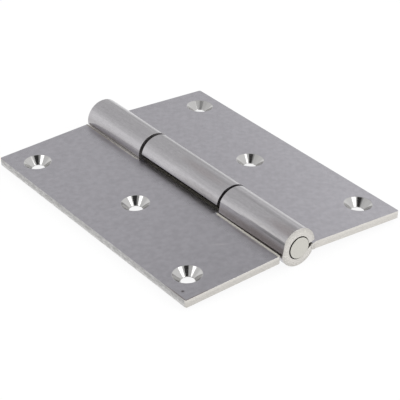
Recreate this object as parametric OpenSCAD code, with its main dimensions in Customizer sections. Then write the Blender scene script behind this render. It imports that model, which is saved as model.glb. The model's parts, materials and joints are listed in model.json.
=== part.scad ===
// Butt hinge of folded stainless sheet, three knuckles on a plain pin, opened a little past flat.
// Millimetres, +Z up. The pin lies along Y, and the origin is under its middle, on the table.

/* [Leaves] */
// Length of both leaves, along the pin
hinge_length = 100; // [80:1:160]
// Reach of each leaf, from the pin's axis to its outer edge
leaf_reach = 40; // [35:0.5:70]
// Thickness of the sheet that both leaves are folded from
sheet = 2.5; // [1.8:0.1:3]
// Depth of a leaf's top face below the axis of its own knuckle
top_drop = 0.5; // [0.3:0.1:1]
// Radius of the leaves' outer corners
corner_r = 0.6; // [0.2:0.1:4]
// Angle that each leaf hangs below level at rest
droop = 2.8; // [0:0.1:3.5]

/* [Knuckles] */
// Length of the centre knuckle
centre_knuckle = 39; // [25:0.5:50]
// Gap between two neighbouring knuckles
knuckle_gap = 1.2; // [0.5:0.1:2]
// Gap between a knuckle and the edge of the notch that it turns in
notch_gap = 0.6; // [0.4:0.1:2]
// Radius under the leaf, where it bends down into its knuckle
neck_r = 0.6; // [0.3:0.1:1.2]
// Angle above level at which the curled sheet of the end knuckles stops
end_curl_end = 5; // [3:1:20]
// Angle above level at which the curled sheet of the centre knuckle stops
centre_curl_end = 14; // [3:1:20]

/* [Pin] */
// Diameter of the pin
pin_d = 6.8; // [5:0.1:9]
// Radial gap between the pin and the knuckles' bores
pin_gap = 0.25; // [0.1:0.05:0.4]
// Gap left where the pin lies against the bores of the end knuckles
seat_gap = 0.05; // [0.02:0.01:0.08]
// Direction from the pin's axis in which the end knuckles stand off it
seat_angle = 148; // [100:1:170]
// Length of pin that stands out of each end
pin_proud = 1; // [0.3:0.1:2]
// Chamfer round the ends of the pin
pin_chamfer = 0.2; // [0.1:0.1:1]

/* [Screw holes] */
// Diameter of the screw holes
hole_d = 4.1; // [3.9:0.1:6]
// Diameter of the countersinks at the top face
sink_d = 8.8; // [7:0.1:11]
// Whole angle of the countersinks
sink_angle = 90; // [82:1:100]
// Distance of the outer screw holes from the outer edge, in the leaf with two knuckles
two_knuckle_inset = 7.6; // [7:0.1:12]
// Distance of the outer screw holes from the outer edge, in the leaf with one knuckle
one_knuckle_inset = 8; // [7:0.1:12]
// Distance of the middle screw hole from the line of the outer ones, towards the pin
middle_hole_step = 10; // [0:0.5:14]
// Distance of the outer screw holes from the leaf's ends
hole_end = 10; // [8:0.5:20]

/* [Hidden] */
$fn = 96;
cut = 1;

bore_r = pin_d / 2 + pin_gap;
barrel_r = bore_r + sheet;
end_knuckle = (hinge_length - centre_knuckle) / 2 - knuckle_gap;
notch_edge = barrel_r + notch_gap;

// The neck is an arc of the sheet's own thickness, tangent to the leaf and to the curl.
neck_out_r = neck_r + sheet;
neck_mid_r = neck_r + sheet / 2;
neck_centre_z = -top_drop - neck_out_r;
neck_centre_x = sqrt(pow(bore_r + sheet / 2 + neck_mid_r, 2) - pow(neck_centre_z, 2));
neck_angle = atan2(neck_centre_z, neck_centre_x);

// The end knuckles hang off the pin by the free play, so the pin touches them on one side.
seat_shift = (pin_gap - seat_gap) * [cos(seat_angle), sin(seat_angle)];
sink_depth = (sink_d - hole_d) / 2 / tan(sink_angle / 2);

// Sector of a disc between two angles less than 180 degrees apart, wider than any radius here
module sector(from, to) {
    reach = 4 * barrel_r;
    polygon([[0, 0], reach * [cos(from), sin(from)], reach * [cos(to), sin(to)]]);
}

module ring(outer, inner) {
    difference() {
        circle(r = outer);
        circle(r = inner);
    }
}

// Section of the folded sheet from the notch's edge inwards, drawn about the bore's axis
module curl_section(curl_end) {
    difference() {
        ring(barrel_r, bore_r);
        sector(neck_angle, curl_end);
    }
    translate([neck_centre_x, neck_centre_z])
        intersection() {
            ring(neck_out_r, neck_r);
            sector(90, 180 + neck_angle);
        }
    translate([neck_centre_x, -top_drop - sheet])
        square([notch_edge - neck_centre_x, sheet]);
}

// One knuckle, centred on middle along the pin
module knuckle(middle, length, curl_end) {
    translate([0, middle + length / 2, 0])
        rotate([90, 0, 0])
            linear_extrude(length)
                curl_section(curl_end);
}

// Flat part of a leaf, its outer corners rounded
module plate(reach) {
    corner_x = reach - corner_r;
    corner_y = hinge_length / 2 - corner_r;
    translate([0, 0, -top_drop - sheet])
        linear_extrude(sheet) {
            translate([notch_edge, -hinge_length / 2])
                square([corner_x - notch_edge, hinge_length]);
            translate([corner_x, -corner_y])
                square([corner_r, 2 * corner_y]);
            for (side = [-1, 1])
                translate([corner_x, side * corner_y])
                    intersection() {
                        circle(r = corner_r);
                        translate([0, side < 0 ? -corner_r : 0])
                            square(corner_r);
                    }
        }
}

// Countersunk screw hole, its mouth at the origin
module screw_hole() {
    translate([0, 0, -sheet - cut])
        cylinder(h = sheet + 2 * cut, d = hole_d);
    translate([0, 0, -sink_depth])
        cylinder(h = sink_depth, d1 = hole_d, d2 = sink_d);
    cylinder(h = cut, d = sink_d);
}

// The three screw holes, the outer two at outer_x from the bore's axis
module screw_holes(outer_x) {
    outer_y = hinge_length / 2 - hole_end;
    for (place = [[outer_x, -outer_y], [outer_x - middle_hole_step, 0], [outer_x, outer_y]])
        translate([place.x, place.y, -top_drop])
            screw_hole();
}

// A whole leaf reaching along +X from the bore's axis, with knuckles given as [middle, length]
module leaf(knuckles, curl_end, reach, inset) {
    difference() {
        union() {
            plate(reach);
            for (k = knuckles)
                knuckle(k[0], k[1], curl_end);
        }
        screw_holes(reach - inset);
    }
}

// Lifts the pin's axis to its height over the table
module on_pin_axis() {
    translate([0, 0, barrel_r])
        children();
}

module leaf_two_knuckles() {
    end_middle = (hinge_length - end_knuckle) / 2;
    color("#a2a1a5")
        on_pin_axis()
            rotate([0, droop, 0])
                translate([seat_shift.x, 0, seat_shift.y])
                    leaf([[-end_middle, end_knuckle], [end_middle, end_knuckle]],
                         end_curl_end, leaf_reach - seat_shift.x, two_knuckle_inset);
}

module leaf_one_knuckle() {
    color("#9a999d")
        on_pin_axis()
            rotate([0, -droop, 0])
                mirror([1, 0, 0])
                    leaf([[0, centre_knuckle]], centre_curl_end, leaf_reach, one_knuckle_inset);
}

module hinge_pin() {
    half = hinge_length / 2 + pin_proud;
    r = pin_d / 2;
    color("#cbc9c4")
        on_pin_axis()
            rotate([90, 0, 0])
                rotate_extrude()
                    polygon([[0, -half], [r - pin_chamfer, -half], [r, pin_chamfer - half],
                             [r, half - pin_chamfer], [r - pin_chamfer, half], [0, half]]);
}

leaf_two_knuckles();
leaf_one_knuckle();
hinge_pin();
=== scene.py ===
"""A stainless butt hinge: two leaves folded from sheet and a plain pin, on a white studio floor."""

import json
import math
from types import SimpleNamespace

import bmesh
import bpy
from mathutils import Matrix, Vector


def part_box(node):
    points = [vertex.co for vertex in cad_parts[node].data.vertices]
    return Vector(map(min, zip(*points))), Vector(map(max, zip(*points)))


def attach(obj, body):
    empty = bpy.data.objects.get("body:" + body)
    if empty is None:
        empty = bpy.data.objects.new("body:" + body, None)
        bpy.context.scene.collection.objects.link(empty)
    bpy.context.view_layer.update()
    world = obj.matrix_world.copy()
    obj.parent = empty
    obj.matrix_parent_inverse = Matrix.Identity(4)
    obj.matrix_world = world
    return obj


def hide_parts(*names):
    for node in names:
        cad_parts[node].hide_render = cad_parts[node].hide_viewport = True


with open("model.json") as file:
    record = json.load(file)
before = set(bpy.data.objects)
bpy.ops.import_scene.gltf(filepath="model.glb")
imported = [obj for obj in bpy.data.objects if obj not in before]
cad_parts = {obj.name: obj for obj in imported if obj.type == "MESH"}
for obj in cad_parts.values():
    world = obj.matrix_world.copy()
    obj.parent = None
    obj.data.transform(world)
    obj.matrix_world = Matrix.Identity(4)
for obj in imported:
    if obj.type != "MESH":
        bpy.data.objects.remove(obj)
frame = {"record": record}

bl_info = {
    "name": "Butt hinge",
    "version": (1, 0, 0),
    "blender": (4, 5, 0),
    "location": "3D View > Sidebar > Butt hinge",
    "description": "Dresses a folded stainless butt hinge and sets it on a white studio floor",
    "category": "Object",
}

MM = 0.001
MOUNTS = {mount["name"]: mount for mount in frame["record"]["mounts"]}
# Each leaf's name in the mounts, its solid, its side of the pin and its body.
LEAVES = (("two_knuckle", "leaf_two_knuckles", 1, "pin_leaf"),
          ("one_knuckle", "leaf_one_knuckle", -1, "turning_leaf"))
# The sheet starts with the first finish all over, and finish_faces gives its parts the others.
FINISHES = ("face", "sheared", "barrel", "slit", "gap", "slot", "ring", "burr")
SHEARED, BARREL, SLIT, GAP, SLOT, RING, BURR = range(1, len(FINISHES))
PIN_LOW, PIN_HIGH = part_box("hinge_pin")
PIN_Z = (PIN_LOW.z + PIN_HIGH.z) / 2
PIN_RADIUS = (PIN_HIGH.x - PIN_LOW.x) / 2
# Places closer to each other than this count as one.
TOUCH = 0.01 * MM
# A touch less than the solid's radius, so that the visual model stays inside the CAD box.
BARREL_RADIUS = PIN_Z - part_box("leaf_one_knuckle")[0].z - TOUCH

# Steps that round shapes are made in, and slices along the pressed flat.
CURL_STEPS = 78
NECK_STEPS = 8
CORNER_STEPS = 5
ROUND_STEPS = 96
EDGE_STEPS = 2
CHAMFER_STEPS = 3
PRESS_SLICES = 8
# How far the screw cutter reaches past both faces of the sheet.
CUT = 1 * MM
# The plate is cut once more at this many times the notches' distance from the pin.
PLATE_CUT = 1.5
# Edges that bend more than this are rounded.
ROUNDED_BEND = math.radians(40)
# A face looks along an axis when its normal has more than this along it.
FACING = 0.9
# How far a vertex of the barrel may lie off its radius.
NEAR = 0.1 * MM
# Creases of the pressed flat: their least bend and length, and their lowest height over the bore's axis.
CREASE_BEND = math.radians(8)
CREASE_LENGTH = 1 * MM
CREASE_LOWEST = -2 * MM
# Depth of the end that bulges, and shares of the bulge at the bore, at the outside and by the leaf.
BULGE_DEPTH = 0.3 * MM
BORE_BULGE, OUTSIDE_BULGE, LEAF_BULGE = 1.0, 0.6, 0.25
# Shares of the burr at the near notch and at the far one. The left leaf is modelled with its near end
# at +Y, and place turns it round.
BURR_SHARES = ((1, 1.0), (-1, 0.3))

# The camera, fitted to edges measured in the photo: millimetres and degrees, and metres for the clipping.
SENSOR_MM = 36
CAMERA_LENS_MM = 136.744
CAMERA_DISTANCE = 470.1
CAMERA_TURN = -36.907
CAMERA_RISE = 30.878
CAMERA_ROLL = 0.148
CAMERA_AIM_RIGHT = 1.958
CAMERA_AIM_UP = -7.2
CAMERA_CLIP = 0.01, 20

# The floor's width in metres.
FLOOR_SIZE = 8
# The floor's white for the light that it throws on the hinge, the most that a shadow darkens it in the
# picture, and the lift that keeps the open floor white there.
FLOOR_WHITE = 0.8
FLOOR_SHADOW = 0.12
FLOOR_LIFT = 1.3
# Soft boxes: degrees to the camera's right and up, then distance, width and height in millimetres, and
# strength.
SOFT_BOXES = (("right_soft_box", 56, 36.5, 450, 174, 350, 1.5),
              ("left_soft_box", -60, 45, 450, 147, 121, 1.6))
# Cards that the countersinks mirror as dark wedges: left, right, lower and upper edge in millimetres,
# and brightness.
CARDS_TURN, CARDS_RISE, CARDS_DISTANCE = -1, 57, 420
CARDS = (("black_card", -100, 105, -40, 105, 0.04),
         ("low_black_card", -68, 122, -98, -40, 0.04),
         ("grey_card", -200, -100, -40, 105, 0.4),
         ("high_grey_card", -170, 35, 105, 160, 0.38))
# The tent round the hinge, as seen along a direction of length 1. Edges are soft, from a start to a stop,
# and are read off how far the direction goes up, or across to the camera's right.
# The roof's brightness, where 1 is white, and its edge over the white walls, which are higher to the sides.
ROOF, ROOF_EDGE, WALL_SLOPE = 0.675, (0.04, 0.16), 0.33
# What the light on the right and on the left adds to the roof, and what the patch takes away.
RIGHT_LIGHT, RIGHT_LIGHT_EDGE, RIGHT_LIGHT_FOOT = 0.24, (-0.395, -0.285), (0.30, 0.42)
LEFT_LIGHT, LEFT_LIGHT_EDGE = 0.12, (-0.6, -0.8)
PATCH, PATCH_HEIGHT, PATCH_EDGE = -0.14, 0.67, (0.07, 0.15)

# Most of a noise lies between these values.
NOISE_SPAN = 0.3, 0.7
# A mark's edge is soft between these shares of its reach. Noise of a part of its reach makes it ragged.
MARK_EDGE = 0.7, 1.6
RAG_SIZE, RAG_DEPTH = 0.35, 0.9
# Turns a pattern so that its X runs across the photo.
ACROSS = math.radians(-CAMERA_TURN)
# Distance from the pin's axis over which the left leaf's duller band fades out, and the knuckles' ends
# go from lighter to darker in painted shade of their bulge.
DULL_BAND = 8 * MM, 12.5 * MM
RING_BAND = 4.6 * MM, 6.1 * MM
# Depth in the sheet, from 0 at the top to 1 at the underside, over which the sheared and slit edges
# change their shade.
BREAK_DEPTH = 0.22, 0.45
SLIT_DEPTH = 0.4, 1.0
# How much duller each leaf is by the knuckles, and the shades of its sheared ends over and under the break.
DULLED = {"two_knuckle": 0.0, "one_knuckle": 0.13}
BREAK_SHADES = {"two_knuckle": (1.16, 1.07), "one_knuckle": (1.12, 0.98)}
BROWN, LIGHT = (0.62, 0.56, 0.52), (1.14, 1.13, 1.11)
# Marks and painted shade on the left leaf's face: tint, place along X and Y, reach along X, Y and Z in
# millimetres, and turn.
FACE_MARKS_AND_PAINTED_SHADE = (
    # Light scuffs towards the near end.
    (LIGHT, (-15.9, -34.1), (2.6, 0.5, 9), ACROSS),
    (LIGHT, (-29, -41.5), (0.4, 3.4, 9), ACROSS),
    # Painted shade in a brownish tint beside the near burr and the far one.
    ((0.86, 0.82, 0.79), (-7.7, -36), (0.45, 11, 9), 0.0),
    ((0.80, 0.78, 0.77), (-7.9, 37), (1.0, 12, 9), 0.0))
# Marks at its near outer corner, with their places counted from there.
CORNER_MARKS = (
    # A small pit.
    ((0.3, 0.28, 0.27), (2.1, 4.2), (0.6, 0.6, 9), 0.0),
    # Browned edges.
    (BROWN, (0, 3), (0.45, 9, 3), 0.0),
    (BROWN, (3, 0), (9, 0.45, 3), 0.0))
# Marks, painted shade and painted highlights on the knuckles: tint, degrees round the pin from the right,
# place along it, and reach across and along it, in millimetres.
BARREL_MARKS_AND_PAINTED_LIGHT = {
    "two_knuckle": (
        # A worn patch over the near end.
        ((0.84, 0.80, 0.79), 117, -50, 2.2, 12),
        # A painted highlight just over the pressed flat, and painted shade along its upper crease.
        ((1.12, 1.12, 1.11), 141, -38, 0.9, 16),
        ((0.88, 0.89, 0.88), 151, -47, 0.7, 20),
        ((0.72, 0.74, 0.72), 153, -49, 0.4, 12),
        # The flat itself, with painted shade that is darker and browner lower down, by the leaf.
        ((0.78, 0.77, 0.75), 166, -49, 3.4, 30),
        ((0.66, 0.62, 0.59), 175, -40, 1.8, 40),
        # Painted shade on the far knuckle's left side, by the leaf, and a darker band along its right.
        ((0.82, 0.81, 0.80), 172, 34, 1.9, 34),
        ((0.80, 0.80, 0.80), 74, 34, 1.5, 22)),
    "one_knuckle": (
        # A faint stain on top.
        ((0.9, 0.87, 0.86), 106, -7, 1.8, 13),
        # Painted shade on the left side, by the leaf, and a darker band along the right.
        ((0.74, 0.73, 0.72), 162, -14, 1.9, 20),
        ((0.80, 0.80, 0.80), 75, 8, 1.5, 40))}


def linear(hex_colour):
    """An sRGB colour written as hex, as linear red, green, blue and alpha."""
    shares = [int(hex_colour[at:at + 2], 16) / 255 for at in (1, 3, 5)]
    return [c / 12.92 if c <= 0.04045 else ((c + 0.055) / 1.055) ** 2.4 for c in shares] + [1.0]


def length(name, description, default_mm):
    """A property that holds a length, given in millimetres."""
    return bpy.props.FloatProperty(
        name=name, description=description, default=default_mm * MM, unit="LENGTH", precision=5)


def angle(name, description, default_degrees):
    """A property that holds an angle, given in degrees."""
    return bpy.props.FloatProperty(
        name=name, description=description, default=math.radians(default_degrees), subtype="ANGLE")


def colour(name, description, default_hex):
    """A property that holds a colour, given as sRGB hex."""
    return bpy.props.FloatVectorProperty(
        name=name, description=description, default=linear(default_hex)[:3], subtype="COLOR",
        size=3, min=0, max=1)


class HingeSizes(bpy.types.PropertyGroup):
    """Sizes of the hinge that its solids don't give by their boxes and mounts."""

    sheet: length("Sheet", "Thickness of the sheet that both leaves are folded from", 2.5)
    centre_knuckle: length("Centre knuckle", "Length of the centre knuckle", 39)
    knuckle_gap: length("Knuckle gap", "Gap between two neighbouring knuckles", 1.2)
    notch_gap: length("Notch gap", "Gap between a knuckle and the edge of its notch", 0.6)
    neck_radius: length("Neck radius", "Radius under the leaf, where it bends into its knuckle", 0.6)
    end_curl_end: angle("End curl end", "Angle above level at which the end knuckles' sheet stops", 5)
    centre_curl_end: angle(
        "Centre curl end", "Angle above level at which the centre knuckle's sheet stops", 14)
    corner_radius: length("Corner radius", "Radius of the leaves' outer corners", 0.6)
    sink_diameter: length("Countersink", "Diameter of the countersinks at the top face", 8.8)
    sink_angle: angle("Countersink angle", "Whole angle of the countersinks", 90)
    pin_chamfer: length("Pin chamfer", "Chamfer round the ends of the pin", 0.2)
    edge_rounding: length("Edge rounding", "Rounding left on sheared and cut edges by tumbling", 0.12)
    flat_middle: angle("Flat", "Direction of the flat that the press left on the near knuckle", 172)
    flat_spread: angle("Flat spread", "Angle that the flat takes up round the near knuckle's end", 50)
    flat_spread_inner: angle(
        "Flat spread, inner", "Angle that the flat takes up by the centre knuckle", 36)
    end_bulge: length(
        "End bulge", "How far curling pushed out the bore's edge at the near knuckle's end", 0.85)
    burr_width: length("Burr", "Width of the bright burr along the left leaf's notches", 0.36)
    burr_height: length("Burr height", "How far the burr stands up at the near notch's edge", 0.32)
    burr_lean: length("Burr lean", "How far the burr leans over the near notch", 0.2)


class HingeColours(bpy.types.PropertyGroup):
    """Colours of the hinge's finishes and of the floor."""

    face: colour("Face", "Mill finish of the leaves' faces", "#B9B7BD")
    barrel: colour("Barrel", "Curled knuckles, rubbed smoother by the folding tool", "#BDBBBE")
    sheared: colour("Sheared edge", "Sheared ends of the leaves and edges of the notches", "#CECBC6")
    slit: colour("Slit edge", "Long outer edges, slit with the strip and handled since", "#BFBEBD")
    # Painted shade: the gap and far gap colours darken the knuckles' ends in the gaps between them.
    gap: colour("Gap", "Dark film of oil and dust on the centre knuckle's ends", "#78757A")
    far_gap: colour("Far gap", "Thinner film on the end knuckles' inner ends", "#B4B1B2")
    # Painted shade: the slot colour darkens the bores and the slots where the curled sheet ends.
    slot: colour("Slot", "Oil and dust in the bores and where the curled sheet ends", "#7A7772")
    # Partly painted highlight: the burr colour is paler than the steel so that the notch edges show as
    # bright lines.
    burr: colour("Burr", "Thin bright burr along the left leaf's notches", "#E2DFD8")
    ring: colour("Knuckle end", "Sheared and bulged ends of the end knuckles", "#D0CDC8")
    sink: colour("Countersink", "Bright cut of the countersinks", "#C8C7C6")
    pin: colour("Pin", "Turned pin and its cut ends", "#CFCDC6")
    floor: colour("Floor", "White studio floor", "#FFFFFF")


def add_node(tree, kind, inputs=(), **settings):
    """Adds a node with its settings. inputs gives its sockets by name or in order.

    Each is a value, or what to link: another node's output, or a node, for its first output."""
    made = tree.nodes.new(kind)
    for name, value in settings.items():
        setattr(made, name, value)
    for key, value in inputs.items() if isinstance(inputs, dict) else enumerate(inputs):
        if isinstance(value, bpy.types.Node):
            value = value.outputs[0]
        if isinstance(value, bpy.types.NodeSocket):
            tree.links.new(value, made.inputs[key])
        else:
            made.inputs[key].default_value = value
    return made


def new_material(name):
    """An empty node material and its tree."""
    made = bpy.data.materials.new(name)
    made.use_nodes = True
    made.node_tree.nodes.clear()
    return made, made.node_tree


def object_places(tree, scale_mm, turn=0.0):
    """Object coordinates whose unit along X, Y and Z is scale_mm, turned about Z."""
    places = add_node(tree, "ShaderNodeTexCoord").outputs["Object"]
    turned = add_node(tree, "ShaderNodeMapping", {"Vector": places, "Rotation": (0, 0, turn)})
    return add_node(tree, "ShaderNodeMapping", {
        "Vector": turned, "Scale": [1 / (size * MM) for size in scale_mm]})


def noise(tree, scale_mm, turn=0.0, detail=3):
    """Soft noise whose blotches are about scale_mm long."""
    return add_node(tree, "ShaderNodeTexNoise", {
        "Vector": object_places(tree, scale_mm, turn), "Detail": detail})


def clouds(tree, scale_mm, turn, amount, detail=3):
    """A shade that wanders by amount to both sides of 1."""
    return add_node(tree, "ShaderNodeMapRange", (
        noise(tree, scale_mm, turn, detail), *NOISE_SPAN, 1 - amount, 1 + amount))


def mark(tree, tint, centre_mm, reach_mm, turn=0.0):
    """A ragged spot of another tint, round a place on the resting hinge. Outside it the shade is 1."""
    middle = Matrix.Rotation(turn, 3, "Z") @ Vector(centre_mm)
    away = add_node(tree, "ShaderNodeVectorMath", (
        object_places(tree, reach_mm, turn), [at / reach for at, reach in zip(middle, reach_mm)]),
        operation="DISTANCE").outputs["Value"]
    rag = noise(tree, [RAG_SIZE * reach for reach in reach_mm], turn)
    deep_rag = add_node(tree, "ShaderNodeMath", (rag, RAG_DEPTH), operation="MULTIPLY")
    ragged = add_node(tree, "ShaderNodeMath", (away, deep_rag), operation="ADD")
    share = add_node(tree, "ShaderNodeMapRange", (ragged, *MARK_EDGE, 1.0, 0.0),
                     interpolation_type="SMOOTHSTEP")
    return add_node(tree, "ShaderNodeVectorMath", (share, [part - 1 for part in tint], (1, 1, 1)),
                    operation="MULTIPLY_ADD")


def depth_in_sheet(tree, leaf, sizes):
    """0 at the leaf's top face and 1 at its underside."""
    places = add_node(tree, "ShaderNodeTexCoord").outputs["Object"]
    down = add_node(tree, "ShaderNodeVectorMath", (places, leaf.up / -sizes.sheet),
                    operation="DOT_PRODUCT").outputs["Value"]
    top = (leaf.centre.dot(leaf.up) - leaf.top_depth) / sizes.sheet
    return add_node(tree, "ShaderNodeMath", (down, top), operation="ADD")


def from_pin(tree):
    """Distance from the pin's axis on the resting hinge."""
    places = add_node(tree, "ShaderNodeTexCoord").outputs["Object"]
    away = add_node(tree, "ShaderNodeVectorMath", (places, (0, 0, -PIN_Z)), operation="ADD")
    flat = add_node(tree, "ShaderNodeVectorMath", (away, (1, 0, 1)), operation="MULTIPLY")
    return add_node(tree, "ShaderNodeVectorMath", (flat,), operation="LENGTH").outputs["Value"]


def steel(name, base, roughness, shades, wander=0.02, grain_mm=0.0, grain_depth=0.0, dulled=0.0):
    """A steel finish. shades is a function that makes its shades in the tree.

    wander is how far its roughness wanders to both sides, and dulled is how much rougher it gets close
    to the knuckles. A grain, in millimetres, may raise its surface."""
    made, tree = new_material(name)
    shown = tuple(base)
    for shade in shades(tree):
        shown = add_node(tree, "ShaderNodeVectorMath", (shown, shade), operation="MULTIPLY")
    rough = add_node(tree, "ShaderNodeMath", (clouds(tree, (3, 3, 3), 0.0, wander), roughness - 1),
                     operation="ADD")
    if dulled:
        duller = add_node(tree, "ShaderNodeMapRange", (from_pin(tree), *DULL_BAND, dulled, 0.0),
                          interpolation_type="SMOOTHSTEP")
        rough = add_node(tree, "ShaderNodeMath", (rough, duller), operation="ADD")
    sockets = {"Base Color": shown, "Metallic": 1.0, "Roughness": rough}
    if grain_mm:
        grain = noise(tree, (grain_mm, grain_mm, grain_mm))
        sockets["Normal"] = add_node(tree, "ShaderNodeBump", {
            "Height": grain, "Strength": 1.0, "Distance": grain_depth * MM})
    surface = add_node(tree, "ShaderNodeBsdfPrincipled", sockets)
    add_node(tree, "ShaderNodeOutputMaterial", {"Surface": surface})
    return made


def select_only(piece):
    """Makes the piece the active and only selected one."""
    bpy.ops.object.select_all(action="DESELECT")
    bpy.context.view_layer.objects.active = piece
    piece.select_set(True)


def apply_place(piece):
    """Moves a piece's place, turn and scale into its mesh."""
    select_only(piece)
    bpy.ops.object.transform_apply(location=True, rotation=True, scale=True)


def open_edit(piece):
    """Opens the piece in edit mode, with nothing picked."""
    select_only(piece)
    bpy.ops.object.mode_set(mode="EDIT")
    bpy.ops.mesh.select_all(action="DESELECT")


def pick(piece, kind, wanted):
    """Picks the verts, edges or faces of a piece in edit mode for which wanted is true."""
    bpy.ops.mesh.select_all(action="DESELECT")
    bpy.ops.mesh.select_mode(type={"verts": "VERT", "edges": "EDGE", "faces": "FACE"}[kind])
    mesh = bmesh.from_edit_mesh(piece.data)
    found = [element for element in getattr(mesh, kind) if wanted(element)]
    for element in found:
        element.select_set(True)
    bmesh.update_edit_mesh(piece.data)
    if not found:
        raise RuntimeError(f"{piece.name}: found none of the {kind} to pick")


def merge_close(piece):
    """Merges vertices that lie within a touch of each other."""
    open_edit(piece)
    bpy.ops.mesh.select_all(action="SELECT")
    bpy.ops.mesh.remove_doubles(threshold=TOUCH)
    bpy.ops.object.mode_set(mode="OBJECT")


def apply_modifier(piece, kind, **settings):
    """Adds a modifier with its settings and applies it."""
    select_only(piece)
    modifier = piece.modifiers.new(kind.title(), kind)
    for name, value in settings.items():
        setattr(modifier, name, value)
    bpy.ops.object.modifier_apply(modifier=modifier.name)


def round_edges(piece, width, steps):
    """Rounds the edges where the surface bends sharply."""
    apply_modifier(piece, "BEVEL", width=width, segments=steps, limit_method="ANGLE",
                   angle_limit=ROUNDED_BEND, use_clamp_overlap=False)


def shade_smooth(piece):
    """Shades the piece smoothly, with its flat faces flat and its marked creases kept."""
    select_only(piece)
    bpy.ops.object.shade_smooth()
    apply_modifier(piece, "WEIGHTED_NORMAL", keep_sharp=True)


def place(piece, origin, out, up):
    """Turns and moves a piece modelled along +X and +Z so that it reaches along out with its face up."""
    along = up.cross(out)
    turn = Matrix((out, along, up)).transposed().to_4x4()
    piece.matrix_world = Matrix.Translation(origin) @ turn
    apply_place(piece)


def leaf_facts(name, node, side, sizes):
    """A leaf's knuckle axis, directions and sizes, read from its solid's box and its mounts."""
    low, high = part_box(node)
    back = MOUNTS[f"{name}_back"]
    up = -Vector(back["axis"]).normalized()
    out = Vector((up.z, 0, -up.x)) * side
    inner_x, outer_x = (low.x, high.x) if side > 0 else (high.x, low.x)
    centre = Vector((inner_x + side * BARREL_RADIUS, 0, low.z + BARREL_RADIUS))
    back_depth = (centre - Vector(back["pos_m"])).dot(up)
    top_depth = back_depth - sizes.sheet
    reach = (abs(outer_x - centre.x) - top_depth * out.z) / abs(out.x)
    bores = [mount for key, mount in MOUNTS.items() if key.startswith(name) and mount["kind"] == "bore"]
    return SimpleNamespace(
        centre=centre, up=up, out=out, back_depth=back_depth, top_depth=top_depth, reach=reach,
        half_length=high.y, hole_radius=bores[0]["dims"]["r_mm"] * MM,
        holes=[((Vector(bore["pos_m"]) - centre).dot(out), bore["pos_m"][1]) for bore in bores])


def flat_sheet(name, leaf, knuckles, level, sizes):
    """The middle of a leaf's plate, with no thickness yet, cut at its knuckles and burrs, in edit mode."""
    notch_x = BARREL_RADIUS + sizes.notch_gap
    bpy.ops.mesh.primitive_plane_add(size=1, location=((notch_x + leaf.reach) / 2, 0, level))
    piece = bpy.context.active_object
    piece.name = piece.data.name = name
    piece.scale = (leaf.reach - notch_x, 2 * leaf.half_length, 1)
    apply_place(piece)
    open_edit(piece)
    ends = {end for knuckle in knuckles for end in knuckle}
    for end in sorted(end for end in ends if abs(end) < leaf.half_length - TOUCH):
        bpy.ops.mesh.select_all(action="SELECT")
        bpy.ops.mesh.bisect(plane_co=(0, end, 0), plane_no=(0, 1, 0))
    for x in (notch_x + sizes.burr_width, PLATE_CUT * notch_x):
        bpy.ops.mesh.select_all(action="SELECT")
        bpy.ops.mesh.bisect(plane_co=(x, 0, 0), plane_no=(1, 0, 0))
    if len(knuckles) == 1:
        for end in knuckles[0]:
            notch_end = end + math.copysign(sizes.knuckle_gap, end)
            pick(piece, "faces", lambda face: face.calc_center_median().x < notch_x + sizes.burr_width)
            bpy.ops.mesh.bisect(plane_co=(0, notch_end, 0), plane_no=(0, 1, 0))
    pick(piece, "verts", lambda vert: vert.co.x > leaf.reach - TOUCH
         and abs(vert.co.y) > leaf.half_length - TOUCH)
    bpy.ops.mesh.bevel(offset=sizes.corner_radius, affect="VERTICES", segments=CORNER_STEPS)
    return piece


def curl_knuckles(piece, knuckles, curl_end, level, sizes):
    """Bends the sheet down at its knuckles and curls it round the bore, and leaves edit mode."""
    notch_x = BARREL_RADIUS + sizes.notch_gap
    neck_middle = sizes.neck_radius + sizes.sheet / 2
    neck_z = level - neck_middle
    neck_x = math.sqrt((BARREL_RADIUS - sizes.sheet / 2 + neck_middle) ** 2 - neck_z ** 2)
    neck_angle = math.atan2(neck_z, neck_x)

    def in_knuckle(edge):
        middle = (edge.verts[0].co + edge.verts[1].co) / 2
        return (all(vert.co.x < notch_x + TOUCH for vert in edge.verts)
                and any(low < middle.y < high for low, high in knuckles))

    pick(piece, "edges", in_knuckle)
    bpy.ops.mesh.extrude_region_move(TRANSFORM_OT_translate={"value": (neck_x - notch_x, 0, 0)})
    bpy.ops.mesh.spin(steps=NECK_STEPS, angle=math.pi / 2 + neck_angle, center=(neck_x, 0, neck_z),
                      axis=(0, 1, 0))
    bpy.ops.mesh.spin(steps=CURL_STEPS, angle=curl_end - neck_angle - math.tau,
                      center=(0, 0, 0), axis=(0, 1, 0))
    bpy.ops.mesh.select_all(action="SELECT")
    bpy.ops.mesh.remove_doubles(threshold=TOUCH)
    bpy.ops.mesh.select_all(action="SELECT")
    bpy.ops.mesh.normals_make_consistent(inside=False)
    bpy.ops.object.mode_set(mode="OBJECT")


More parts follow.
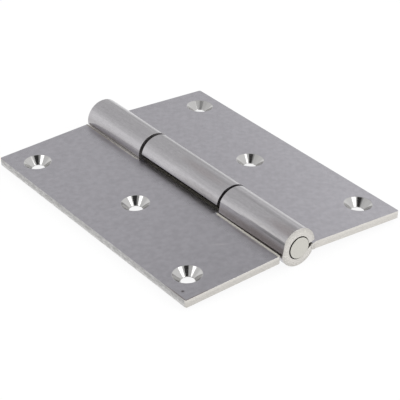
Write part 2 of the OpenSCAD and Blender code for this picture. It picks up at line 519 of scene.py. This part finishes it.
def finish_faces(piece, leaf, knuckles, sizes):
    """Gives the parts of the folded sheet their own finishes."""
    bore = BARREL_RADIUS - sizes.sheet
    burr_end = BARREL_RADIUS + sizes.notch_gap + sizes.burr_width
    for face in piece.data.polygons:
        x, y, z = face.center
        radius = math.hypot(x, z)
        curled = radius < BARREL_RADIUS + TOUCH
        curled_face = curled and face.material_index != SHEARED
        by_leaf = x > 0 and -bore < z < -leaf.top_depth - TOUCH
        at_notch = len(knuckles) == 1 and abs(y) > knuckles[0][1] + sizes.knuckle_gap
        # The gap and slot finishes hold painted shade.
        if abs(face.normal.y) > FACING:
            if curled:
                face.material_index = GAP if abs(y) < leaf.half_length - TOUCH else RING
        elif radius < bore + TOUCH or (curled_face and by_leaf):
            face.material_index = SLOT
        elif curled_face:
            face.material_index = BARREL
        elif face.normal.x > FACING and x > leaf.reach - TOUCH:
            face.material_index = SLIT
        elif face.normal.z > FACING and at_notch and x < burr_end:
            face.material_index = BURR


def from_bore(vert):
    """Distance of a vertex from the bore's axis."""
    return math.hypot(vert.co.x, vert.co.z)


def turn_about_bore(piece, turn):
    """Turns a piece in edit mode about the bore's axis, from +Z towards +X, and opens it again."""
    bpy.ops.object.mode_set(mode="OBJECT")
    piece.rotation_euler.y = turn
    apply_place(piece)
    open_edit(piece)


def press_flat(piece, leaf, inner_end, sizes):
    """Presses a flat into the left of the near knuckle, widest at the knuckle's end."""
    open_edit(piece)
    knuckle = inner_end + leaf.half_length
    slices = [knuckle * k / PRESS_SLICES - leaf.half_length for k in range(PRESS_SLICES + 1)]
    for y in slices[1:-1]:
        pick(piece, "faces", lambda face: face.calc_center_median().y < inner_end and all(
            from_bore(vert) < BARREL_RADIUS + TOUCH for vert in face.verts))
        bpy.ops.mesh.bisect(plane_co=(0, y, 0), plane_no=(0, 1, 0))
    # The middle of the flat is turned to +X, pressed flat there and turned back.
    turn_about_bore(piece, sizes.flat_middle)
    for k, y in enumerate(slices):
        half = (sizes.flat_spread + (sizes.flat_spread_inner - sizes.flat_spread) * k / PRESS_SLICES) / 2
        pick(piece, "verts", lambda vert: abs(vert.co.y - y) < TOUCH
             and abs(from_bore(vert) - BARREL_RADIUS) < NEAR
             and abs(math.atan2(vert.co.z, vert.co.x)) < half)
        bpy.ops.transform.resize(value=(0, 1, 1), center_override=(BARREL_RADIUS * math.cos(half), 0, 0))
    turn_about_bore(piece, -sizes.flat_middle)
    bpy.ops.object.mode_set(mode="OBJECT")


def sharpen_flat(piece, leaf, inner_end):
    """Keeps the creases along the pressed flat crisp in the smooth shading."""
    def crease(edge):
        first, second = (vert.co for vert in edge.verts)
        middle = (first + second) / 2
        return (edge.calc_face_angle(0) > CREASE_BEND and abs(second.y - first.y) > CREASE_LENGTH
                and -leaf.half_length < middle.y < inner_end and middle.z > CREASE_LOWEST and middle.x < 0)

    open_edit(piece)
    pick(piece, "edges", crease)
    bpy.ops.mesh.mark_sharp()
    bpy.ops.object.mode_set(mode="OBJECT")


def bulge_end(piece, leaf, sizes):
    """Pushes out the near knuckle's end, most round the bore, as curling bulges the sheet."""
    notch_x = BARREL_RADIUS + sizes.notch_gap
    middle = BARREL_RADIUS - sizes.sheet / 2
    open_edit(piece)
    for share, inside in ((BORE_BULGE, lambda vert: from_bore(vert) < middle),
                          (OUTSIDE_BULGE, lambda vert: middle < from_bore(vert) < BARREL_RADIUS + NEAR),
                          (LEAF_BULGE, lambda vert: abs(vert.co.x - notch_x) < TOUCH)):
        pick(piece, "verts", lambda vert: vert.co.y < BULGE_DEPTH - leaf.half_length and inside(vert))
        bpy.ops.transform.translate(value=(0, -share * sizes.end_bulge, 0))
    bpy.ops.object.mode_set(mode="OBJECT")


def raise_burr(piece, leaf, notch_end, sizes):
    """Draws the strip along the notches up and over their edges, as shearing does, less at the far one."""
    notch_x = BARREL_RADIUS + sizes.notch_gap

    def on_line(vert, x):
        return abs(vert.co.x - x) < TOUCH and vert.co.z > -leaf.top_depth - TOUCH

    open_edit(piece)
    for side, share in BURR_SHARES:
        pick(piece, "verts", lambda vert: on_line(vert, notch_x)
             and side * vert.co.y > notch_end - TOUCH)
        bpy.ops.transform.translate(value=(-share * sizes.burr_lean, 0, share * sizes.burr_height))
    pick(piece, "edges", lambda edge: all(
        on_line(vert, notch_x + sizes.burr_width) and abs(vert.co.y) > notch_end - TOUCH
        for vert in edge.verts))
    bpy.ops.mesh.mark_sharp()
    bpy.ops.object.mode_set(mode="OBJECT")


def screw_cutter(leaf, sizes, finish):
    """A solid in the shape of a countersunk screw hole, its mouth level with the leaf's top face."""
    sink_radius = sizes.sink_diameter / 2
    sink_depth = (sink_radius - leaf.hole_radius) / math.tan(sizes.sink_angle / 2)
    low, high = -leaf.back_depth - CUT, -leaf.top_depth - sink_depth
    bpy.ops.mesh.primitive_cylinder_add(vertices=ROUND_STEPS, radius=leaf.hole_radius, depth=high - low,
                                        location=(0, 0, (low + high) / 2))
    cutter = bpy.context.active_object
    apply_place(cutter)
    open_edit(cutter)
    pick(cutter, "faces", lambda face: all(vert.co.z > high - TOUCH for vert in face.verts))
    bpy.ops.mesh.extrude_region_move(TRANSFORM_OT_translate={"value": (0, 0, sink_depth)})
    grow = sink_radius / leaf.hole_radius
    bpy.ops.transform.resize(value=(grow, grow, 1))
    bpy.ops.mesh.extrude_region_move(TRANSFORM_OT_translate={"value": (0, 0, CUT)})
    bpy.ops.object.mode_set(mode="OBJECT")
    cutter.data.materials.append(finish)
    return cutter


def leaf_piece(name, leaf, knuckles, curl_end, sizes, finishes):
    """A whole leaf: folded, given its thickness, drilled, its edges rounded, and put in its place."""
    level = sizes.sheet / 2 - leaf.back_depth
    piece = flat_sheet(name, leaf, knuckles, level, sizes)
    curl_knuckles(piece, knuckles, curl_end, level, sizes)
    for finish in FINISHES:
        piece.data.materials.append(finishes[finish])
    apply_modifier(piece, "SOLIDIFY", thickness=sizes.sheet, offset=0, use_even_offset=True,
                   material_offset_rim=SHEARED)
    finish_faces(piece, leaf, knuckles, sizes)
    if len(knuckles) == 2:
        press_flat(piece, leaf, knuckles[0][1], sizes)
        bulge_end(piece, leaf, sizes)
    else:
        raise_burr(piece, leaf, knuckles[0][1] + sizes.knuckle_gap, sizes)
    cutter = screw_cutter(leaf, sizes, finishes["sink"])
    for x, y in leaf.holes:
        cutter.location = (x, y, 0)
        bpy.context.view_layer.update()
        apply_modifier(piece, "BOOLEAN", object=cutter, operation="DIFFERENCE", solver="EXACT",
                       material_mode="TRANSFER")
    bpy.data.objects.remove(cutter)
    merge_close(piece)
    round_edges(piece, sizes.edge_rounding, EDGE_STEPS)
    merge_close(piece)
    if len(knuckles) == 2:
        sharpen_flat(piece, leaf, knuckles[0][1])
    shade_smooth(piece)
    place(piece, leaf.centre, leaf.out, leaf.up)
    return piece


def on_barrel(degrees, y):
    """A place on the knuckles, in millimetres, by its angle round the pin and its place along it."""
    radius = BARREL_RADIUS / MM
    turn = math.radians(degrees)
    return radius * math.cos(turn), y, PIN_Z / MM + radius * math.sin(turn)


def near_corner(leaf):
    """The near outer corner of a leaf's top face, in millimetres."""
    outer = leaf.centre + leaf.out * leaf.reach - leaf.up * leaf.top_depth
    return outer / MM - Vector((0, leaf.half_length / MM, 0))


def two_knuckle_face_shades(tree):
    """Shades of the right leaf's face: faint bands and a soft mottle."""
    return [clouds(tree, (4, 60, 4), ACROSS, 0.02), clouds(tree, (9, 9, 9), 0.0, 0.05, 1),
            clouds(tree, (1.6, 1.6, 1.6), 0.0, 0.02)]


def one_knuckle_face_shades(tree, corner):
    """Shades of the left leaf's face: a soft mottle, scuffs, brownish painted shade by the burrs and a pit
    by its corner.
    """
    shades = [clouds(tree, (9, 9, 9), 0.0, 0.055, 1), clouds(tree, (3, 1.2, 3), ACROSS, 0.018, 1)]
    for tint, (x, y), reach, turn in FACE_MARKS_AND_PAINTED_SHADE:
        shades.append(mark(tree, tint, (x, y, corner.z), reach, turn))
    for tint, (x, y), reach, turn in CORNER_MARKS:
        shades.append(mark(tree, tint, (corner.x + x, corner.y + y, corner.z), reach, turn))
    return shades


def barrel_shades(tree, name):
    """Shades of a leaf's knuckles: streaks along the pin, and the marks, painted shade and painted
    highlights on them.
    """
    marks = [mark(tree, tint, on_barrel(degrees, y), (across, along, across))
             for tint, degrees, y, across, along in BARREL_MARKS_AND_PAINTED_LIGHT[name]]
    return [clouds(tree, (1.4, 30, 1.4), 0.0, 0.05), clouds(tree, (2.5, 6, 2.5), 0.0, 0.05), *marks]


def sheared_shades(tree, name, leaf, sizes):
    """Shades of a leaf's sheared ends: a light shear at the top over a duller break."""
    depth = depth_in_sheet(tree, leaf, sizes)
    return [clouds(tree, (0.9, 0.9, 0.9), 0.0, 0.16), clouds(tree, (4, 4, 0.5), 0.0, 0.06),
            add_node(tree, "ShaderNodeMapRange", (depth, *BREAK_DEPTH, *BREAK_SHADES[name]),
                     interpolation_type="SMOOTHSTEP")]


def slit_shades(tree, leaf, sizes):
    """Shades of a leaf's long outer edge: blotches drawn along it, and lighter towards the underside."""
    depth = depth_in_sheet(tree, leaf, sizes)
    return [clouds(tree, (0.8, 5, 0.5), 0.0, 0.25), clouds(tree, (3, 9, 3), 0.0, 0.2),
            add_node(tree, "ShaderNodeMapRange", (depth, *SLIT_DEPTH, 0.86, 1.12),
                     interpolation_type="SMOOTHSTEP")]


def burr_shades(tree, corner):
    """Shades of the burr: uneven, and darker at the far end."""
    far_end = mark(tree, (0.6, 0.57, 0.55), (-7, 46, corner.z), (5, 18, 9))
    return [clouds(tree, (1, 4, 1), 0.0, 0.15), far_end]


def ring_shades(tree):
    """Shades of the knuckles' ends: speckled, with painted shade of the bulge, lighter round the bore."""
    return [clouds(tree, (0.7, 0.7, 0.7), 0.0, 0.32), clouds(tree, (1.8, 1.8, 1.8), 0.0, 0.1),
            add_node(tree, "ShaderNodeMapRange", (from_pin(tree), *RING_BAND, 1.08, 0.92),
                     interpolation_type="SMOOTHSTEP")]


def even_shades(tree):
    """Shades of a finish that is nearly even."""
    return [clouds(tree, (2, 2, 2), 0.0, 0.03)]


def leaf_finishes(name, leaf, sizes, colours):
    """The materials of one leaf, by the part of it that they cover."""
    corner = near_corner(leaf)
    face_shades = {"two_knuckle": two_knuckle_face_shades,
                   "one_knuckle": lambda tree: one_knuckle_face_shades(tree, corner)}[name]
    gap = {"two_knuckle": colours.far_gap, "one_knuckle": colours.gap}[name]
    return {
        # Cold-rolled stainless sheet as it leaves the mill: satin grey and softly mottled.
        "face": steel(f"mill_finish_{name}", colours.face, 0.19, face_shades,
                      wander=0.012, dulled=DULLED[name]),
        # The knuckles' outside: the same sheet rubbed in streaks along the pin by the curling tool.
        "barrel": steel(f"curled_stainless_{name}", colours.barrel, 0.19,
                        lambda tree: barrel_shades(tree, name)),
        # Sheared ends: pale and grainy, with a light band under the top face and a duller break below it.
        "sheared": steel(f"sheared_end_{name}", colours.sheared, 0.45,
                         lambda tree: sheared_shades(tree, name, leaf, sizes),
                         wander=0.05, grain_mm=0.35, grain_depth=0.02),
        # Long outer edges: darker than the sheared ends, with blotches drawn along their length.
        "slit": steel(f"slit_edge_{name}", colours.slit, 0.4,
                      lambda tree: slit_shades(tree, leaf, sizes), wander=0.05),
        # Faces in the gaps between the knuckles: the same steel, darkened with painted shade.
        "gap": steel(f"oily_gap_{name}", gap, 0.45, even_shades),
        # Bores, and the slots where the curled sheet ends over the leaf: darkened with painted shade.
        "slot": steel(f"dirty_slot_{name}", colours.slot, 0.6, even_shades),
        # Outer ends of the end knuckles: sheared like the leaf's ends, roughened by the bulging, with
        # painted shade.
        "ring": steel(f"knuckle_end_{name}", colours.ring, 0.4, ring_shades,
                      wander=0.05, grain_mm=0.5, grain_depth=0.07),
        # The burr along the notches: a thin line of torn metal whose pale colour is partly a painted
        # highlight, and it catches light from all round.
        "burr": steel(f"notch_burr_{name}", colours.burr, 0.7,
                      lambda tree: burr_shades(tree, corner)),
        # Countersinks: cut bright by the tool, so they mirror the lamps and cards as hard wedges.
        "sink": steel(f"bright_countersink_{name}", colours.sink, 0.11,
                      lambda tree: [clouds(tree, (2, 2, 0.3), 0.0, 0.03)]),
    }


class HINGE_OT_leaves(bpy.types.Operator):
    """Models both leaves: folded sheet with curled knuckles, countersunk screw holes and rounded edges"""

    bl_idname = "hinge.leaves"
    bl_label = "Leaves"

    def execute(self, context):
        sizes, colours = context.scene.hinge_sizes, context.scene.hinge_colours
        centre_end = sizes.centre_knuckle / 2
        inner_end = centre_end + sizes.knuckle_gap
        for name, node, side, body in LEAVES:
            leaf = leaf_facts(name, node, side, sizes)
            finishes = leaf_finishes(name, leaf, sizes, colours)
            if side > 0:
                knuckles = [(-leaf.half_length, -inner_end), (inner_end, leaf.half_length)]
                curl_end = sizes.end_curl_end
            else:
                knuckles = [(-centre_end, centre_end)]
                curl_end = sizes.centre_curl_end
            piece = leaf_piece(f"folded_{node}", leaf, knuckles, curl_end, sizes, finishes)
            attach(piece, body)
            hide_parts(node)
        return {"FINISHED"}


class HINGE_OT_pin(bpy.types.Operator):
    """Models the pin: a plain turned rod with chamfered ends"""

    bl_idname = "hinge.pin"
    bl_label = "Pin"

    def execute(self, context):
        sizes, colours = context.scene.hinge_sizes, context.scene.hinge_colours
        # Turned rod with cut ends, pale and a little warm.
        finish = steel("turned_pin_steel", colours.pin, 0.4, even_shades, grain_mm=0.5, grain_depth=0.01)
        bpy.ops.mesh.primitive_cylinder_add(
            vertices=ROUND_STEPS, radius=PIN_RADIUS, depth=PIN_HIGH.y - PIN_LOW.y,
            location=(PIN_LOW + PIN_HIGH) / 2, rotation=(math.pi / 2, 0, 0))
        piece = context.active_object
        piece.name = piece.data.name = "turned_hinge_pin"
        apply_place(piece)
        piece.data.materials.append(finish)
        round_edges(piece, sizes.pin_chamfer, CHAMFER_STEPS)
        shade_smooth(piece)
        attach(piece, "pin_leaf")
        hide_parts("hinge_pin")
        return {"FINISHED"}


def camera_or_gloss(tree):
    """1 for what the camera, a reflection or a refraction sees, and 0 for light that falls on a surface."""
    path = add_node(tree, "ShaderNodeLightPath").outputs
    seen = add_node(tree, "ShaderNodeMath", (path["Is Camera Ray"], path["Is Glossy Ray"]),
                    operation="MAXIMUM")
    return add_node(tree, "ShaderNodeMath", (seen, path["Is Transmission Ray"]), operation="MAXIMUM")


def white_floor(colours):
    """Smooth white board: it renders white, and keeps a soft grey shadow under the hinge."""
    made, tree = new_material("white_studio_board")
    board = add_node(tree, "ShaderNodeBsdfDiffuse", {
        "Color": [FLOOR_WHITE * share for share in colours.floor] + [1]})
    glow = add_node(tree, "ShaderNodeEmission", {
        "Color": [*colours.floor, 1], "Strength": 1 - FLOOR_SHADOW})
    faint = add_node(tree, "ShaderNodeBsdfDiffuse", {"Color": [FLOOR_LIFT * FLOOR_SHADOW] * 3 + [1]})
    shown = add_node(tree, "ShaderNodeAddShader", (glow, faint))
    surface = add_node(tree, "ShaderNodeMixShader", (camera_or_gloss(tree), board, shown))
    add_node(tree, "ShaderNodeOutputMaterial", {"Surface": surface})
    return made


def from_camera(turn, rise, distance):
    """A direction turned to the camera's right and raised, and the place that far from the pin's middle."""
    level = math.radians(CAMERA_TURN - 90 + turn)
    up = math.radians(rise)
    direction = Vector((math.cos(up) * math.cos(level), math.cos(up) * math.sin(level), math.sin(up)))
    return direction, direction * distance * MM + Vector((0, 0, PIN_Z))


def soft_box(name, turn, rise, distance, width, height, strength):
    """A soft box that faces the hinge. A strength of 1 looks white in a mirror."""
    data = bpy.data.lights.new(name, "AREA")
    data.shape = "RECTANGLE"
    data.size, data.size_y = width * MM, height * MM
    data.energy = strength * math.pi * data.size * data.size_y
    lamp = bpy.data.objects.new(name, data)
    bpy.context.scene.collection.objects.link(lamp)
    direction, lamp.location = from_camera(turn, rise, distance)
    lamp.rotation_euler = direction.to_track_quat("Z", "Y").to_euler()
    lamp.visible_camera = False


def card(name, left, right, low, high, level):
    """A card that shows only in reflections, its edges in millimetres seen from the hinge's front."""
    direction, middle = from_camera(CARDS_TURN, CARDS_RISE, CARDS_DISTANCE)
    turned = direction.to_track_quat("Z", "Y")
    at = middle + turned @ Vector(((left + right) / 2, (low + high) / 2, 0)) * MM
    bpy.ops.mesh.primitive_plane_add(size=1, location=at, rotation=turned.to_euler())
    piece = bpy.context.active_object
    piece.name = piece.data.name = name
    piece.scale = ((right - left) * MM, (high - low) * MM, 1)
    # Matt card: one even grey from every side, and nothing is mirrored in it.
    made, tree = new_material(name)
    surface = add_node(tree, "ShaderNodeEmission", {"Color": (1, 1, 1, 1), "Strength": level})
    add_node(tree, "ShaderNodeOutputMaterial", {"Surface": surface})
    piece.data.materials.append(made)
    piece.visible_camera = piece.visible_diffuse = piece.visible_transmission = piece.visible_shadow = False


def studio_world(scene):
    """A white tent: white walls, a greyer roof with a darker patch in it, and a white picture ground."""
    scene.world = bpy.data.worlds.new("white_tent")
    scene.world.use_nodes = True
    tree = scene.world.node_tree
    tree.nodes.clear()
    direction = add_node(tree, "ShaderNodeTexCoord").outputs["Generated"]
    height = add_node(tree, "ShaderNodeSeparateXYZ", (direction,)).outputs["Z"]
    turn = math.radians(CAMERA_TURN)
    across = add_node(tree, "ShaderNodeVectorMath", (direction, (math.cos(turn), math.sin(turn), 0)),
                      operation="DOT_PRODUCT").outputs["Value"]

    slant = add_node(tree, "ShaderNodeMath", (across, height), operation="SUBTRACT")
    beside = add_node(tree, "ShaderNodeMapRange", (slant, *RIGHT_LIGHT_EDGE, 0.0, RIGHT_LIGHT),
                      interpolation_type="SMOOTHSTEP")
    above = add_node(tree, "ShaderNodeMapRange", (height, *RIGHT_LIGHT_FOOT, 0.0, 1.0),
                     interpolation_type="SMOOTHSTEP")
    right_light = add_node(tree, "ShaderNodeMath", (beside, above), operation="MULTIPLY")
    left_light = add_node(tree, "ShaderNodeMapRange", (across, *LEFT_LIGHT_EDGE, 0.0, LEFT_LIGHT),
                          interpolation_type="SMOOTHSTEP")
    over_patch = add_node(tree, "ShaderNodeMath", (height, PATCH_HEIGHT), operation="SUBTRACT")
    away = add_node(tree, "ShaderNodeCombineXYZ", (across, over_patch))
    from_patch = add_node(tree, "ShaderNodeVectorMath", (away,), operation="LENGTH").outputs["Value"]
    patch = add_node(tree, "ShaderNodeMapRange", (from_patch, *PATCH_EDGE, PATCH, 0.0),
                     interpolation_type="SMOOTHSTEP")
    roof = right_light
    for part in (left_light, patch, ROOF):
        roof = add_node(tree, "ShaderNodeMath", (roof, part), operation="ADD")

    aside = add_node(tree, "ShaderNodeMath", (across,), operation="ABSOLUTE")
    wall_top = add_node(tree, "ShaderNodeMath", (aside, WALL_SLOPE), operation="MULTIPLY")
    over_wall = add_node(tree, "ShaderNodeMath", (height, wall_top), operation="SUBTRACT")
    white = add_node(tree, "ShaderNodeMapRange", (over_wall, *ROOF_EDGE, 1.0, 0.0),
                     interpolation_type="SMOOTHSTEP")
    level = add_node(tree, "ShaderNodeMix", {0: white, 2: roof, 3: 1.0}, data_type="FLOAT")
    seen = add_node(tree, "ShaderNodeLightPath").outputs["Is Camera Ray"]
    strength = add_node(tree, "ShaderNodeMath", (level, seen), operation="MAXIMUM")
    tent = add_node(tree, "ShaderNodeBackground", {"Color": (1, 1, 1, 1), "Strength": strength})
    add_node(tree, "ShaderNodeOutputWorld", {"Surface": tent})


def camera(scene):
    """The photograph's view: a long lens, raised over the hinge's left front."""
    turn, rise, roll = (math.radians(degrees) for degrees in (CAMERA_TURN, CAMERA_RISE, CAMERA_ROLL))
    ahead = Vector((-math.sin(turn) * math.cos(rise), math.cos(turn) * math.cos(rise), -math.sin(rise)))
    level_right = Vector((math.cos(turn), math.sin(turn), 0))
    level_up = level_right.cross(ahead)
    right = math.cos(roll) * level_right + math.sin(roll) * level_up
    up = math.cos(roll) * level_up - math.sin(roll) * level_right
    aim = right * CAMERA_AIM_RIGHT * MM + up * CAMERA_AIM_UP * MM + Vector((0, 0, PIN_Z))
    data = bpy.data.cameras.new("photo_view")
    data.sensor_width = SENSOR_MM
    data.lens = CAMERA_LENS_MM
    data.clip_start, data.clip_end = CAMERA_CLIP
    view = bpy.data.objects.new("photo_view", data)
    scene.collection.objects.link(view)
    view.matrix_world = Matrix.Translation(aim - ahead * CAMERA_DISTANCE * MM) @ Matrix(
        (right, up, -ahead)).transposed().to_4x4()
    scene.camera = view


class HINGE_OT_stage(bpy.types.Operator):
    """Sets up the floor, the soft boxes, the cards, the white surroundings and the camera"""

    bl_idname = "hinge.stage"
    bl_label = "Stage"

    def execute(self, context):
        scene = context.scene
        bpy.ops.mesh.primitive_plane_add(size=FLOOR_SIZE, location=(0, 0, -TOUCH))
        floor = context.active_object
        floor.name = floor.data.name = "studio_floor"
        floor.data.materials.append(white_floor(scene.hinge_colours))
        studio_world(scene)
        for facts in SOFT_BOXES:
            soft_box(*facts)
        for facts in CARDS:
            card(*facts)
        camera(scene)
        scene.view_settings.view_transform = "Standard"
        return {"FINISHED"}


class HINGE_PT_sidebar(bpy.types.Panel):
    """Lists the hinge's steps, sizes and colours"""

    bl_label = "Butt hinge"
    bl_space_type = "VIEW_3D"
    bl_region_type = "UI"
    bl_category = "Butt hinge"

    def draw(self, context):
        for step in STEPS:
            self.layout.operator(step.bl_idname)
        for group in (context.scene.hinge_sizes, context.scene.hinge_colours):
            for name in group.__annotations__:
                self.layout.prop(group, name)


STEPS = (HINGE_OT_leaves, HINGE_OT_pin, HINGE_OT_stage)
CLASSES = (HingeSizes, HingeColours, *STEPS, HINGE_PT_sidebar)


def register():
    for made in CLASSES:
        bpy.utils.register_class(made)
    bpy.types.Scene.hinge_sizes = bpy.props.PointerProperty(type=HingeSizes)
    bpy.types.Scene.hinge_colours = bpy.props.PointerProperty(type=HingeColours)


def unregister():
    del bpy.types.Scene.hinge_colours
    del bpy.types.Scene.hinge_sizes
    for made in reversed(CLASSES):
        bpy.utils.unregister_class(made)


def main():
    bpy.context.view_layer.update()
    register()
    bpy.ops.hinge.leaves()
    bpy.ops.hinge.pin()
    bpy.ops.hinge.stage()


if __name__ == "__main__":
    main()
